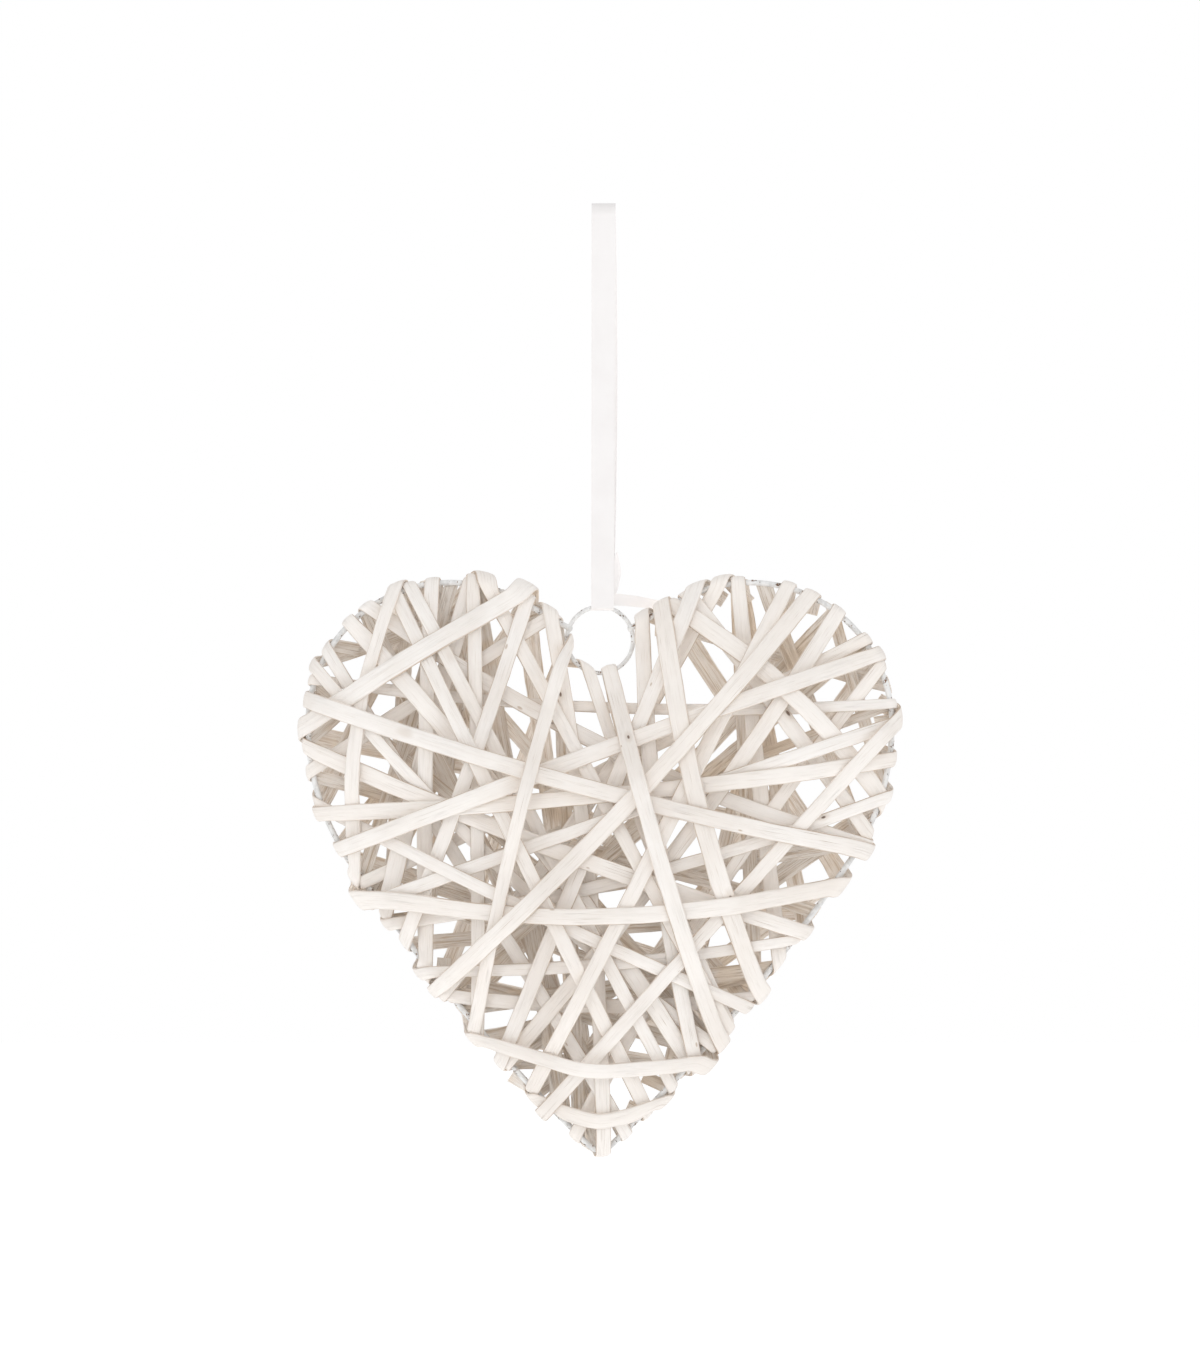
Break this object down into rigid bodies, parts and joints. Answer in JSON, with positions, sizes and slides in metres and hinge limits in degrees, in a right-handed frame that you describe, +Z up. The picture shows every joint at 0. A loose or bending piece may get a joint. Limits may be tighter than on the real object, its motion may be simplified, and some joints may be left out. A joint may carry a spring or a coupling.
{
  "type": "hanging wicker heart",
  "caption": "Puffed heart of whitewashed split willow strips wound round a bent wire outline, hung by a small wire ring and a loop of flat satin ribbon.",
  "frame": {"origin": "under the top of the ribbon loop, where a hook bears", "axes": "+Z up as it hangs, the heart's front faces -Y, +X to the right as seen from the front"},
  "size_m": [0.252, 0.0774, 0.3975],
  "materials": {
    "whitewashed_willow": "matt whitewash",
    "white_painted_wire": "thin chipped paint",
    "satin_ribbon": "satin"
  },
  "bodies": {
    "root": {"heart_wire": "white_painted_wire", "hanging_ring": "white_painted_wire", "ribbon": "satin_ribbon", "willow_strip_01": "whitewashed_willow", "willow_strip_02": "whitewashed_willow", "willow_strip_03": "whitewashed_willow", "willow_strip_04": "whitewashed_willow", "willow_strip_05": "whitewashed_willow", "willow_strip_06": "whitewashed_willow", "willow_strip_07": "whitewashed_willow", "willow_strip_08": "whitewashed_willow", "willow_strip_09": "whitewashed_willow", "willow_strip_10": "whitewashed_willow", "willow_strip_11": "whitewashed_willow", "willow_strip_12": "whitewashed_willow", "willow_strip_13": "whitewashed_willow", "willow_strip_14": "whitewashed_willow", "willow_strip_15": "whitewashed_willow", "willow_strip_16": "whitewashed_willow", "willow_strip_17": "whitewashed_willow", "willow_strip_18": "whitewashed_willow", "willow_strip_19": "whitewashed_willow", "willow_strip_20": "whitewashed_willow", "willow_strip_21": "whitewashed_willow", "willow_strip_22": "whitewashed_willow"}
  },
  "joints": []
}
